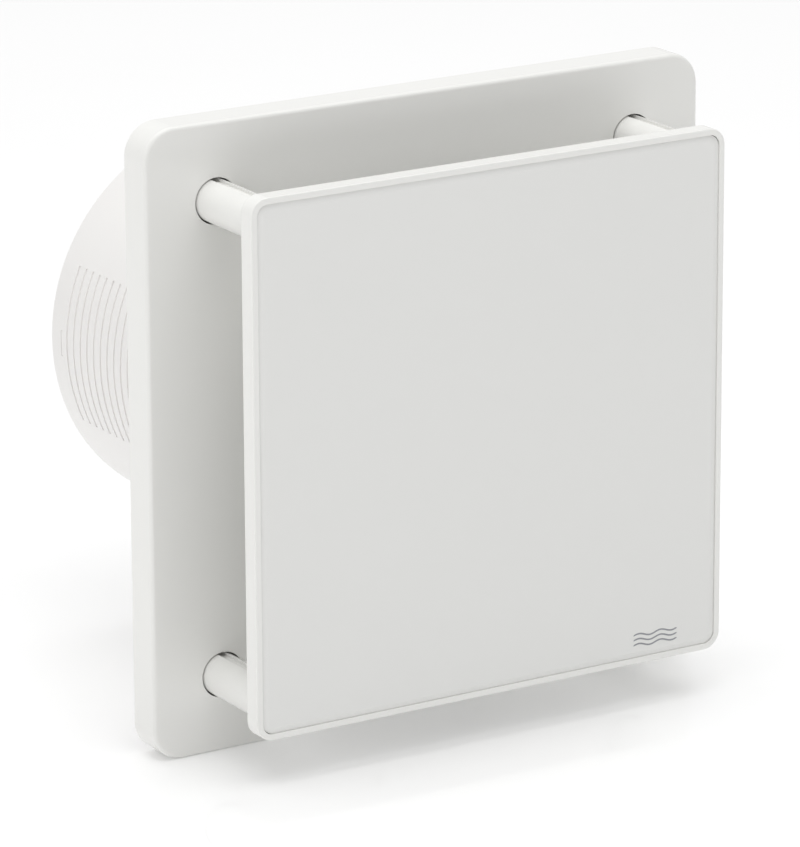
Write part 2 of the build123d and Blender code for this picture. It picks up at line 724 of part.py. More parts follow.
# ---- fan_shroud: ring with two flanges, five struts, motor pod and bearing tube
with BuildPart() as fan_shroud:
    with BuildSketch(Plane.XY):
        with Locations((fan_bore, fan_start)):
            Rectangle(fan_ring_wall, fan_depth, align=(Align.MIN, Align.MIN))
        with Locations((fan_bore + 0.5, fan_start), (fan_bore + 0.5, fan_end - fan_flange)):
            Rectangle(fan_flange_radius - fan_bore - 0.5, fan_flange, align=(Align.MIN, Align.MIN))
        with Locations((pod_bore, fan_start)):
            Rectangle(pod_wall, pod_depth, align=(Align.MIN, Align.MIN))
        with Locations((bearing_radius + seat, pod_floor_front)):
            Rectangle(pod_radius - bearing_radius - seat, fan_ring_wall, align=(Align.MIN, Align.MIN))
            Rectangle(bearing_tube_wall, tube_end - pod_floor_front, align=(Align.MIN, Align.MIN))
        with Locations((bearing_radius - 1, front_bearing + bearing_width)):
            Rectangle(1.5, bearing_span, align=(Align.MIN, Align.MIN))
    revolve(axis=Axis.Y)
    with BuildSketch(at(fan_start)):
        with PolarLocations(0, strut_count, start_angle=90):
            with Locations((pod_radius - 1, 0)):
                Rectangle(fan_bore - pod_radius + 2, strut_width, align=(Align.MIN, Align.CENTER))
        with Locations((0, pod_radius - 1)):
            Rectangle(lead_channel + 2 * pod_wall, fan_bore - pod_radius + 2, align=(Align.CENTER, Align.MIN))
    extrude(amount=-5.5)
    with BuildSketch(at(fan_start)):
        with Locations((0, pod_bore - 1)):
            Rectangle(lead_channel, fan_bore - pod_bore, align=(Align.CENTER, Align.MIN))
    extrude(amount=-3.6, mode=Mode.SUBTRACT)
save(fan_shroud, "fan_shroud")

# ---- hub_cap: lid of the motor pod
with BuildPart() as hub_cap:
    with BuildSketch(Plane.XY):
        with BuildLine():
            Polyline((0, fan_start), (pod_radius - 0.1, fan_start), (pod_radius - 0.1, fan_start - 0.8),
                     (pod_radius - 4, fan_start - 1.9), (0, fan_start - 1.9), close=True)
        make_face()
        with Locations((pod_bore - 1.7, fan_start - 0.4)):
            Rectangle(1.5, 4.9, align=(Align.MIN, Align.MIN))
    revolve(axis=Axis.Y)
    with Locations((0, fan_start, pod_bore - 1)):
        Box(lead_channel + 0.6, 12.0, 4.2, align=(Align.CENTER, Align.MIN, Align.CENTER), mode=Mode.SUBTRACT)
save(hub_cap, "hub_cap")

# ---- damper_ring: rubber rings round the two flanges of the fan
damper_places = {"damper_ring_front": fan_start, "damper_ring_rear": fan_end - fan_flange}
for damper_name, flange_start in damper_places.items():
    with BuildPart() as damper_ring:
        with BuildSketch(Plane.XY):
            with Locations((fan_flange_radius - 3, flange_start - damper_side)):
                Rectangle(duct_bore - slip - fan_flange_radius + 3, fan_flange + 2 * damper_side,
                          align=(Align.MIN, Align.MIN))
            with Locations((fan_flange_radius - 4, flange_start)):
                Rectangle(4 + seat, fan_flange, align=(Align.MIN, Align.MIN), mode=Mode.SUBTRACT)
        revolve(axis=Axis.Y)
    save(damper_ring, damper_name)

# ---- motor_pcb: ring-shaped board on the pod's floor
with BuildPart() as motor_pcb:
    with BuildSketch(at(pod_floor_front)):
        Circle(pod_bore - 2.2)
        Circle(bearing_radius + 1, mode=Mode.SUBTRACT)
    extrude(amount=board_thickness)
    with BuildSketch(at(pod_floor_front - board_thickness)):
        with PolarLocations(14, 3, start_angle=210):
            Rectangle(4, 4)
    extrude(amount=1.2)
save(motor_pcb, "motor_pcb")

# ---- stator_core and its coils
with BuildPart() as stator_core:
    with BuildSketch(at(stator_start)):
        Circle(stator_bore + 3.2)
        with PolarLocations(0, tooth_count, start_angle=30):
            Rectangle(2 * (stator_radius - 1), tooth_width)
        with BuildSketch(mode=Mode.ADD):
            Circle(stator_radius)
            Circle(stator_radius - 1.7, mode=Mode.SUBTRACT)
            with PolarLocations(stator_radius, tooth_count):
                Rectangle(6, 2.6, mode=Mode.SUBTRACT)
        Circle(stator_bore, mode=Mode.SUBTRACT)
    extrude(amount=-stator_length)
save(stator_core, "stator_core")

with BuildPart() as stator_winding:
    with Locations(Plane.XZ.offset(-(stator_start + stator_length / 2))):
        with PolarLocations(stator_bore + 6.4, tooth_count, start_angle=30):
            Box(5.2, tooth_width + 2 * coil_build, stator_length + 2 * coil_build)
    fillet(stator_winding.edges().filter_by(GeomType.LINE).filter_by(
        lambda edge: edge.length > 5.1 and edge.length < 5.3), 1.4)
    with Locations(Plane.XZ.offset(-(stator_start + stator_length / 2))):
        with PolarLocations(stator_bore + 6.4, tooth_count, start_angle=30):
            Box(8, tooth_width + slip, stator_length + slip, mode=Mode.SUBTRACT)
save(stator_winding, "stator_winding")

# ---- Bearings: two of each race, and the balls between them
ball_ring = (bearing_radius + shaft_radius) / 2
bearing_starts = (front_bearing, rear_bearing)
with BuildPart() as bearing_outer_races:
    with BuildSketch(Plane.XY):
        for bearing_start in bearing_starts:
            with Locations((bearing_radius - race_wall, bearing_start)):
                Rectangle(race_wall, bearing_width, align=(Align.MIN, Align.MIN))
            with Locations((ball_ring, bearing_start + bearing_width / 2)):
                Circle(ball_radius + seat, mode=Mode.SUBTRACT)
    revolve(axis=Axis.Y)
save(bearing_outer_races, "bearing_outer_races")

with BuildPart() as bearing_balls:
    for bearing_start in bearing_starts:
        with Locations(at(bearing_start + bearing_width / 2)):
            with PolarLocations(ball_ring, ball_count):
                Sphere(ball_radius)
save(bearing_balls, "bearing_balls")

with BuildPart() as bearing_inner_races:
    with BuildSketch(Plane.XY):
        for bearing_start in bearing_starts:
            with Locations((shaft_radius + seat, bearing_start)):
                Rectangle(race_wall - seat, bearing_width, align=(Align.MIN, Align.MIN))
            with Locations((ball_ring, bearing_start + bearing_width / 2)):
                Circle(ball_radius + running, mode=Mode.SUBTRACT)
    revolve(axis=Axis.Y)
save(bearing_inner_races, "bearing_inner_races")

# ---- rotor_shaft with a groove for its circlip
clip_thickness = 0.6
shaft_start = front_bearing - 2.0
with BuildPart() as rotor_shaft:
    with BuildSketch(at(hub_end - 0.4)):
        Circle(shaft_radius)
    extrude(amount=hub_end - 0.4 - shaft_start)
    chamfer(rotor_shaft.faces().sort_by(Axis.Y)[0].edges(), 0.4)
    with BuildSketch(at(front_bearing)):
        Circle(shaft_radius + 1)
        Circle(shaft_radius - 0.4, mode=Mode.SUBTRACT)
    extrude(amount=clip_thickness, mode=Mode.SUBTRACT)
save(rotor_shaft, "rotor_shaft")

with BuildPart() as shaft_circlip:
    with BuildSketch(at(front_bearing)):
        Circle(shaft_radius + 1.1)
        Circle(shaft_radius - 0.4 + seat, mode=Mode.SUBTRACT)
        with Locations((3, 0)):
            Rectangle(6, 2.6, mode=Mode.SUBTRACT)
    extrude(amount=clip_thickness)
save(shaft_circlip, "shaft_circlip")

# ---- preload_spring between the rear bearing's inner race and the rotor cup
spring_height = cup_floor - bearing_end - 2 * spring_wire
with BuildPart() as preload_spring:
    with BuildLine() as spring_path:
        Helix(pitch=spring_height / spring_turns, height=spring_height, radius=shaft_radius + 0.45,
              center=(0, bearing_end + spring_wire, 0), direction=(0, 1, 0))
    with BuildSketch(Plane(origin=spring_path.line @ 0, z_dir=spring_path.line % 0)):
        Circle(spring_wire)
    sweep(path=spring_path.wires()[0], is_frenet=True)
save(preload_spring, "preload_spring")

# ---- rotor_cup and rotor_magnet
with BuildPart() as rotor_cup:
    with BuildSketch(Plane.XY):
        with Locations((cup_bore, pod_floor + 2.5)):
            Rectangle(cup_wall, cup_floor + cup_wall - pod_floor - 2.5, align=(Align.MIN, Align.MIN))
        with Locations((shaft_radius + seat, cup_floor)):
            Rectangle(cup_radius - shaft_radius - seat, cup_wall, align=(Align.MIN, Align.MIN))
    revolve(axis=Axis.Y)
save(rotor_cup, "rotor_cup")

with BuildPart() as rotor_magnet:
    with BuildSketch(Plane.XY):
        with Locations((magnet_bore, stator_start + stator_length / 2 - magnet_length / 2)):
            Rectangle(magnet_thickness - seat, magnet_length, align=(Align.MIN, Align.MIN))
    revolve(axis=Axis.Y)
save(rotor_magnet, "rotor_magnet")

# ---- impeller: hub over the rotor cup, with twisted blades
blade_middle = (hub_start + hub_end) / 2
with BuildPart() as impeller:
    for blade in range(blade_count):
        turn = 360 / blade_count * blade
        for radius, chord, pitch in ((hub_radius - 1.2, 22.0, blade_root_angle),
                                     (fan_bore + 1, 33.0, blade_tip_angle)):
            outward = Vector(1, 0, 0).rotate(Axis.Y, turn)
            across = Vector(0, 0, 1).rotate(Axis.Y, turn)
            with BuildSketch(Plane(origin=outward * radius + Vector(0, blade_middle, 0), x_dir=across,
                                   z_dir=outward)):
                SlotOverall(chord, blade_thickness, rotation=pitch)
        loft()
    with BuildSketch(at(hub_end)):
        Circle(fan_bore - tip_gap)
    extrude(amount=hub_end - hub_start, mode=Mode.INTERSECT)
    with BuildSketch(Plane.XY):
        with Locations((cup_radius + seat, hub_start)):
            Rectangle(hub_wall - seat, hub_end - hub_start, align=(Align.MIN, Align.MIN))
        with Locations((shaft_radius + slip, cup_floor + cup_wall)):
            Rectangle(hub_radius - shaft_radius - slip, hub_end - cup_floor - cup_wall,
                      align=(Align.MIN, Align.MIN))
    revolve(axis=Axis.Y)
save(impeller, "impeller")

# ---- flow_straightener: a grid that lies on the duct's inner ledge
with BuildPart() as flow_straightener:
    with BuildSketch(at(ledge_end + straightener_depth)):
        Circle(duct_bore - play)
        with BuildSketch(mode=Mode.SUBTRACT):
            with GridLocations(straightener_pitch, straightener_pitch, 13, 13):
                Rectangle(straightener_pitch - 1.4, straightener_pitch - 1.4)
            Circle(duct_bore - play - 2.4, mode=Mode.INTERSECT)
    extrude(amount=straightener_depth)
save(flow_straightener, "flow_straightener")

# ---- core_sleeve, regenerator_core and rear_filter
sleeve_start = ledge_end + straightener_depth
core_start = sleeve_start + 2.0
with BuildPart() as core_sleeve:
    with BuildSketch(Plane.XY):
        with Locations((core_radius + slip, sleeve_start)):
            Rectangle(sleeve_wall, core_end - sleeve_start, align=(Align.MIN, Align.MIN))
        with Locations((core_radius - 3, sleeve_start)):
            Rectangle(4, core_start - sleeve_start, align=(Align.MIN, Align.MIN))
    revolve(axis=Axis.Y)
save(core_sleeve, "core_sleeve")

cell_opening = cell_pitch - cell_wall
cell_reach = core_radius - cell_wall - cell_opening / diagonal
cell_rows = range(-int(core_radius / cell_pitch), int(core_radius / cell_pitch) + 1)
with BuildPart() as regenerator_core:
    with BuildSketch(at(core_start)):
        Circle(core_radius)
        cell_spots = [(cell_pitch * column, cell_pitch * row) for column in cell_rows for row in cell_rows]
        with Locations(*[spot for spot in cell_spots if Vector(*spot).length < cell_reach]):
            Rectangle(cell_opening, cell_opening, mode=Mode.SUBTRACT)
    extrude(amount=-(core_end - core_start - 2.0))
save(regenerator_core, "regenerator_core")

with BuildPart() as rear_filter:
    with BuildSketch(at(core_end)):
        Circle(core_radius)
    extrude(amount=2.0)
save(rear_filter, "rear_filter")

# ---- rear_grille: sloping bars in a ring, held by two latches in the duct's wall
with BuildPart() as rear_grille:
    with BuildSketch(Plane.YZ):
        with Locations(*[((grille_start + grille_end) / 2, 12 * row) for row in range(-5, 6)]):
            Rectangle(7.4, 1.4, rotation=-35)
    extrude(amount=duct_bore, both=True)
    with Locations((0, (grille_start + grille_end) / 2, 0)):
        Box(2.4, grille_depth - 1, 2 * duct_bore)
    with BuildSketch(at(grille_end)):
        Circle(duct_bore - play - 1)
    extrude(amount=grille_depth, mode=Mode.INTERSECT)
    with BuildSketch(Plane.XY):
        with Locations((duct_bore - play - 2.6, grille_start)):
            Rectangle(2.6, grille_depth, align=(Align.MIN, Align.MIN))
    revolve(axis=Axis.Y)
    for side in (-1, 1):
        with Locations((side * (duct_bore - 1), latch_y, 0)):
            Box(2 * (duct_radius - duct_bore) + 1.6, latch_slot - slip, latch_length - 2 * slip)
save(rear_grille, "rear_grille")
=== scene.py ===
import json
import math

import bmesh
import bpy
from mathutils import Matrix, Vector, noise


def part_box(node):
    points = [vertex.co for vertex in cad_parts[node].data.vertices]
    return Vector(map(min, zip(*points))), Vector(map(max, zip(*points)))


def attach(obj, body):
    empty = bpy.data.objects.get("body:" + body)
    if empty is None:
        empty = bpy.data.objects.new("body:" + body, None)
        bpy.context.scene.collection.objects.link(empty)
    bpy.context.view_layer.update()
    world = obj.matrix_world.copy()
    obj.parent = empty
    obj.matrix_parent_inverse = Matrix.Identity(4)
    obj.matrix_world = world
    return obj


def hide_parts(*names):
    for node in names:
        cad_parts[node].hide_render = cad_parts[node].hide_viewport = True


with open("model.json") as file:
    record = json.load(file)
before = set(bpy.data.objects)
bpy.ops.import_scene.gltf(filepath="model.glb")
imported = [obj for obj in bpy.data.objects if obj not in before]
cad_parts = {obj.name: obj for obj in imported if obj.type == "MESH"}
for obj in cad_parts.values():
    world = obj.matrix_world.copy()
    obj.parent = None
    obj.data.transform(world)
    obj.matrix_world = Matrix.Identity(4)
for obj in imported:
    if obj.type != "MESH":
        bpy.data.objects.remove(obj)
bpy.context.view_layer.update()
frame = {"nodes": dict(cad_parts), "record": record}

MM = 0.001
NOISE_ROUGHNESS = 0.55


# ---------------------------------------------------------------- node groups


class Board:
    """A node tree with short ways to place nodes, set their values and join their sockets."""

    def __init__(self, tree):
        self.tree = tree

    def place(self, kind, **settings):
        node = self.tree.nodes.new(kind)
        for key, value in settings.items():
            setattr(node, key, value)
        return node

    def join(self, source, target):
        self.tree.links.new(source, target)

    def put(self, value, socket):
        """Joins an output to the socket, or sets the socket's own value."""
        if isinstance(value, bpy.types.NodeSocket):
            self.join(value, socket)
        else:
            socket.default_value = value

    def feed(self, node, **values):
        """Fills inputs by name; a key's underscores stand for the spaces in the socket's name."""
        for key, value in values.items():
            self.put(value, node.inputs[key.replace("_", " ")])
        return node

    def fill(self, node, **values):
        """Fills inputs by place, i0 for the first, where several inputs share a name."""
        for key, value in values.items():
            self.put(value, node.inputs[int(key[1:])])
        return node

    def noise(self, vector, scale, detail=4.0):
        node = self.place("ShaderNodeTexNoise")
        self.feed(node, Vector=vector, Scale=scale, Detail=detail, Roughness=NOISE_ROUGHNESS)
        return node.outputs["Fac"]

    def seams(self, vector, scale):
        """The distance to the nearest seam between cells."""
        node = self.place("ShaderNodeTexVoronoi", feature="DISTANCE_TO_EDGE")
        return self.feed(node, Vector=vector, Scale=scale).outputs["Distance"]

    def reach(self, value, low, high, to_low, to_high):
        """Carries low..high smoothly over to to_low..to_high."""
        node = self.place("ShaderNodeMapRange", interpolation_type="SMOOTHSTEP")
        return self.fill(node, i0=value, i1=low, i2=high, i3=to_low, i4=to_high).outputs["Result"]

    def maths(self, operation, first, second):
        node = self.place("ShaderNodeMath", operation=operation)
        return self.fill(node, i0=first, i1=second).outputs[0]

    def tint(self, factor, first, second):
        """Mixes two colours."""
        node = self.place("ShaderNodeMix", data_type="RGBA", blend_type="MIX")
        return self.fill(node, i0=factor, i6=first, i7=second).outputs[2]

    def stretch(self, vector, scale):
        node = self.place("ShaderNodeMapping")
        return self.feed(node, Vector=vector, Scale=scale).outputs["Vector"]

    def bump(self, height, strength, distance):
        node = self.place("ShaderNodeBump")
        self.feed(node, Height=height, Strength=strength, Distance=distance)
        return node.outputs["Normal"]


def group(name, inputs, outputs):
    """An empty node group with the named sockets, and its board, its inputs and its output node."""
    tree = bpy.data.node_groups.new(name, "ShaderNodeTree")
    for socket, kind, value in inputs:
        made = tree.interface.new_socket(socket, in_out="INPUT", socket_type="NodeSocket" + kind)
        if value is not None:
            made.default_value = value
    for socket, kind in outputs:
        tree.interface.new_socket(socket, in_out="OUTPUT", socket_type="NodeSocket" + kind)
    board = Board(tree)
    given = board.place("NodeGroupInput").outputs
    return tree, board, given, board.place("NodeGroupOutput").inputs


def mould_grain():
    """Moulded plastic: fine grain, broad clouding and patches of slightly different gloss."""
    tree, board, given, out = group(
        "mould_grain",
        [("Vector", "Vector", None), ("Color", "Color", (0.8, 0.8, 0.8, 1)), ("Clouding", "Float", 0.03),
         ("Grain", "Float", 9000.0), ("Roughness", "Float", 0.4), ("Spread", "Float", 0.08)],
        [("Color", "Color"), ("Roughness", "Float"), ("Height", "Float")])
    clouds = board.noise(given["Vector"], 14.0, 3.0)
    patches = board.noise(given["Vector"], 95.0, 5.0)
    grain = board.noise(given["Vector"], given["Grain"], 2.0)
    shade = board.maths("MULTIPLY", board.reach(clouds, 0.3, 0.7, 0.0, 1.0), given["Clouding"])
    board.join(board.tint(shade, given["Color"], (0.45, 0.46, 0.47, 1)), out["Color"])
    shift = board.maths("MULTIPLY", board.maths("SUBTRACT", patches, 0.5), given["Spread"])
    board.join(board.maths("ADD", given["Roughness"], shift), out["Roughness"])
    board.join(grain, out["Height"])
    return tree


def drawn_metal():
    """Ground or drawn metal: fine lines along one axis, with duller patches."""
    tree, board, given, out = group(
        "drawn_metal",
        [("Vector", "Vector", None), ("Color", "Color", (0.6, 0.6, 0.6, 1)), ("Roughness", "Float", 0.3),
         ("Lines", "Vector", (400.0, 400.0, 12000.0))],
        [("Color", "Color"), ("Roughness", "Float"), ("Height", "Float")])
    scaled = board.place("ShaderNodeVectorMath", operation="MULTIPLY")
    board.join(given["Vector"], scaled.inputs[0])
    board.join(given["Lines"], scaled.inputs[1])
    lines = board.noise(scaled.outputs[0], 1.0, 3.0)
    dull = board.noise(given["Vector"], 180.0, 5.0)
    dulled = board.reach(dull, 0.45, 0.75, 0.0, 0.35)
    board.join(board.tint(dulled, given["Color"], (0.33, 0.32, 0.30, 1)), out["Color"])
    shift = board.reach(lines, 0.2, 0.8, -0.06, 0.14)
    board.join(board.maths("ADD", given["Roughness"], shift), out["Roughness"])
    board.join(lines, out["Height"])
    return tree


def loose_fibres():
    """Non-woven fleece: two layers of fibres that cross."""
    tree, board, given, out = group(
        "loose_fibres",
        [("Vector", "Vector", None), ("Color", "Color", (0.8, 0.8, 0.8, 1)),
         ("Shadow", "Color", (0.4, 0.4, 0.4, 1)), ("Fibre", "Float", 900.0)],
        [("Color", "Color"), ("Roughness", "Float"), ("Height", "Float")])
    warped = board.place("ShaderNodeVectorMath", operation="MULTIPLY_ADD")
    drift = board.place("ShaderNodeTexNoise")
    board.feed(drift, Vector=given["Vector"], Scale=350.0)
    board.join(drift.outputs["Color"], warped.inputs[0])
    warped.inputs[1].default_value = (0.004, 0.004, 0.004)
    board.join(given["Vector"], warped.inputs[2])
    along = board.noise(board.stretch(warped.outputs[0], (0.12, 1.0, 1.0)), given["Fibre"], 2.0)
    across = board.noise(board.stretch(warped.outputs[0], (1.0, 1.0, 0.12)), given["Fibre"], 2.0)
    fibres = board.maths("MAXIMUM", along, across)
    lit = board.reach(fibres, 0.42, 0.68, 0.0, 1.0)
    board.join(board.tint(lit, given["Shadow"], given["Color"]), out["Color"])
    board.join(board.reach(fibres, 0.4, 0.7, 0.95, 0.8), out["Roughness"])
    board.join(fibres, out["Height"])
    return tree


def bead_skin():
    """Expanded beads pressed together: rounded cells with fine seams."""
    tree, board, given, out = group(
        "bead_skin",
        [("Vector", "Vector", None), ("Color", "Color", (0.8, 0.8, 0.8, 1)),
         ("Seam", "Color", (0.5, 0.5, 0.5, 1)), ("Beads", "Float", 330.0)],
        [("Color", "Color"), ("Roughness", "Float"), ("Height", "Float")])
    seams = board.seams(given["Vector"], given["Beads"])
    lines = board.reach(seams, 0.0, 0.09, 0.0, 1.0)
    board.join(board.tint(lines, given["Seam"], given["Color"]), out["Color"])
    board.join(board.reach(seams, 0.0, 0.3, 0.75, 0.55), out["Roughness"])
    board.join(board.reach(seams, 0.0, 0.35, 0.0, 1.0), out["Height"])
    return tree


GROUPS = {
    "grain": mould_grain(),
    "metal": drawn_metal(),
    "fibres": loose_fibres(),
    "beads": bead_skin(),
}


# ---------------------------------------------------------------- materials


def blank(name):
    """A material with a Principled shader, its board and its object coordinates."""
    made = bpy.data.materials.new(name)
    made.use_nodes = True
    board = Board(made.node_tree)
    shader = made.node_tree.nodes["Principled BSDF"]
    return made, board, shader, board.place("ShaderNodeTexCoord").outputs["Object"]


def surfaced(name, effect, bump, settings, **values):
    """A material whose colour, roughness and height come from one of the shared groups.

    bump is the bump's strength and its depth in metres.
    """
    made, board, shader, place = blank(name)
    used = board.place("ShaderNodeGroup")
    used.node_tree = GROUPS[effect]
    board.feed(used, Vector=place, **values)
    board.feed(shader, Base_Color=used.outputs["Color"], Roughness=used.outputs["Roughness"], **settings)
    strength, depth = bump
    board.feed(shader, Normal=board.bump(used.outputs["Height"], strength, depth))
    return made


def plastic(name, color, roughness, clouding, grain, bump):
    return surfaced(name, "grain", bump, {}, Color=(*color, 1), Clouding=clouding, Grain=grain,
                    Roughness=roughness)


def metal(name, color, roughness, lines, bump=(0.15, 0.00002)):
    return surfaced(name, "metal", bump, {"Metallic": 1.0}, Color=(*color, 1), Roughness=roughness,
                    Lines=lines)


# Plastics: colour, roughness, clouding, grain's cells per metre, bump.
# Metals: colour, roughness, lines per metre along x, y and z, bump.
FINISHES = {
    "white_abs": plastic("white_abs", (0.885, 0.883, 0.858), 0.20, 0.02, 7000.0, (0.04, 0.00002)),
    "duct_plastic": plastic("duct_plastic", (0.89, 0.877, 0.86), 0.35, 0.03, 5000.0, (0.10, 0.00002)),
    "white_glass": plastic("white_glass", (0.828, 0.828, 0.81), 0.12, 0.006, 2500.0, (0.01, 0.00001)),
    "foam_tape": plastic("foam_tape", (0.05, 0.05, 0.05), 0.9, 0.1, 2500.0, (0.4, 0.0001)),
    "seal_foam": plastic("seal_foam", (0.05, 0.05, 0.055), 0.92, 0.15, 1800.0, (0.6, 0.0002)),
    "rubber": plastic("rubber", (0.03, 0.03, 0.03), 0.7, 0.1, 3000.0, (0.25, 0.00005)),
    "grey_plastic": plastic("grey_plastic", (0.30, 0.31, 0.33), 0.45, 0.06, 6000.0, (0.15, 0.00003)),
    "black_plastic": plastic("black_plastic", (0.025, 0.025, 0.028), 0.42, 0.12, 4000.0, (0.2, 0.00003)),
    "chip_black": plastic("chip_black", (0.02, 0.02, 0.022), 0.55, 0.1, 6000.0, (0.2, 0.00003)),
    "connector_white": plastic("connector_white", (0.72, 0.68, 0.58), 0.45, 0.06, 6000.0,
                               (0.1, 0.00002)),
    "wire_jacket": plastic("wire_jacket", (0.05, 0.10, 0.42), 0.38, 0.05, 3000.0, (0.08, 0.00002)),
    "lead_jacket": plastic("lead_jacket", (0.03, 0.03, 0.032), 0.45, 0.05, 3000.0, (0.1, 0.00002)),
    "board_laminate": plastic("board_laminate", (0.02, 0.16, 0.07), 0.3, 0.25, 2500.0, (0.2, 0.00003)),
    "magnet": plastic("magnet", (0.06, 0.06, 0.065), 0.6, 0.1, 5000.0, (0.3, 0.00003)),
    "lamination": metal("lamination", (0.30, 0.31, 0.34), 0.45, (300.0, 24000.0, 300.0), (0.5, 0.00005)),
    "copper": metal("copper", (0.72, 0.30, 0.14), 0.28, (300.0, 9000.0, 9000.0), (0.6, 0.0001)),
    "can_aluminium": metal("can_aluminium", (0.75, 0.76, 0.78), 0.25, (9000.0, 400.0, 400.0)),
    "zinc_steel": metal("zinc_steel", (0.70, 0.70, 0.66), 0.3, (2500.0, 400.0, 2500.0)),
    "steel": metal("steel", (0.60, 0.60, 0.60), 0.25, (400.0, 12000.0, 400.0)),
    "polished_steel": metal("polished_steel", (0.78, 0.78, 0.78), 0.08, (3000.0, 3000.0, 3000.0),
                            (0.02, 0.00001)),
    "spring_steel": metal("spring_steel", (0.45, 0.45, 0.47), 0.3, (6000.0, 6000.0, 400.0)),
    "filter_media": surfaced("filter_media", "fibres", (0.8, 0.0004), {}, Color=(0.78, 0.80, 0.80, 1),
                             Shadow=(0.42, 0.44, 0.45, 1), Fibre=1400.0),
    "coarse_media": surfaced("coarse_media", "fibres", (0.9, 0.0008), {}, Color=(0.16, 0.165, 0.17, 1),
                             Shadow=(0.02, 0.02, 0.02, 1), Fibre=600.0),
    "sleeve_foam": surfaced("sleeve_foam", "beads", (0.5, 0.0003), {}, Color=(0.74, 0.75, 0.76, 1),
                            Seam=(0.55, 0.56, 0.58, 1), Beads=330.0),
    "ceramic": surfaced("ceramic", "grain", (0.5, 0.00008), {}, Color=(0.72, 0.66, 0.56, 1),
                        Clouding=0.3, Grain=3500.0, Roughness=0.85, Spread=0.1),
}

slot_of = {row["node"]: row["material_slot"] for row in frame["record"]["subparts"]}
for node, held in frame["nodes"].items():
    shown = held if isinstance(held, bpy.types.Object) else bpy.data.objects[node]
    if not shown.material_slots:
        shown.data.materials.append(None)
    for held_slot in shown.material_slots:
        held_slot.material = FINISHES[slot_of[node]]


# ---------------------------------------------------------------- pieces added to the CAD ones


def linked(name, mesh, body, slot):
    """Links a mesh as a piece with its slot's finish, riding on a body."""
    piece = bpy.data.objects.new(name, mesh)
    bpy.context.scene.collection.objects.link(piece)
    if not mesh.materials:
        mesh.materials.append(None)
    mesh.materials[0] = FINISHES[slot]
    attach(piece, body)
    return piece


def shown_mesh(thing):
    """The thing's mesh with its modifiers applied, as a new mesh."""
    shown = thing.evaluated_get(bpy.context.evaluated_depsgraph_get())
    return bpy.data.meshes.new_from_object(shown)


ROW_STEP = 0.866  # bonded dimples stand in a triangular pattern: rows this far apart, in pitches
DIMPLE_REACH = 0.16  # in pitches
BROAD_TUFTS, FINE_TUFTS = 0.35, 1.3  # noise steps per tuft height
BROAD_SHARE, FINE_SHARE = 0.7, 0.3
DEEPEST = 0.8  # of the way to the pad's middle


def lofted(node, name, body, slot, voxel, rounds, tuft, bond_pitch=0.0, bond_depth=0.0):
    """Stands a soft piece in for a flat CAD solid, and stays inside that solid's box.

    It has rounded edges, uneven tufts and, where bond_pitch is given, bonded dimples.
    """
    low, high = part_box(node)
    copy = bpy.data.objects.new(name + "_source", bpy.data.objects[node].data.copy())
    bpy.context.scene.collection.objects.link(copy)
    remesh = copy.modifiers.new("remesh", "REMESH")
    remesh.mode = "VOXEL"
    remesh.voxel_size = voxel
    smooth = copy.modifiers.new("smooth", "SMOOTH")
    smooth.factor = 0.5
    smooth.iterations = rounds
    mesh = shown_mesh(copy)
    bpy.data.objects.remove(copy)
    mesh.name = name
    middle = (low.y + high.y) / 2
    normals = [Vector(vertex.normal) for vertex in mesh.vertices]
    for vertex, normal in zip(mesh.vertices, normals):
        where = vertex.co
        broad = 0.5 + 0.5 * noise.noise(where * (BROAD_TUFTS / tuft))
        fine = 0.5 + 0.5 * noise.noise(where * (FINE_TUFTS / tuft))
        sink = tuft * (BROAD_SHARE * broad + FINE_SHARE * fine)
        if bond_pitch:
            row = round(where.z / (bond_pitch * ROW_STEP))
            across = (where.x / bond_pitch - 0.5 * (row % 2)) % 1.0
            dx = (min(across, 1.0 - across)) * bond_pitch
            dz = where.z - row * bond_pitch * ROW_STEP
            sink += bond_depth * math.exp(-(dx * dx + dz * dz) / (DIMPLE_REACH * bond_pitch) ** 2)
        vertex.co = where - normal * min(sink, abs(where.y - middle) * DEEPEST + tuft)
        vertex.co = Vector(min(max(value, a), b) for value, a, b in zip(vertex.co, low, high))
    for polygon in mesh.polygons:
        polygon.use_smooth = True
    piece = linked(name, mesh, body, slot)
    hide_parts(node)


lofted("filter_pad", "filter_fleece", "filter_cassette", "filter_media", 0.7 * MM, 3, 0.22 * MM,
       bond_pitch=5.0 * MM, bond_depth=0.7 * MM)
lofted("rear_filter", "rear_filter_mat", "housing", "coarse_media", 0.8 * MM, 3, 0.45 * MM)
lofted("wall_gasket", "wall_gasket_foam", "housing", "seal_foam", 0.7 * MM, 4, 0.12 * MM)


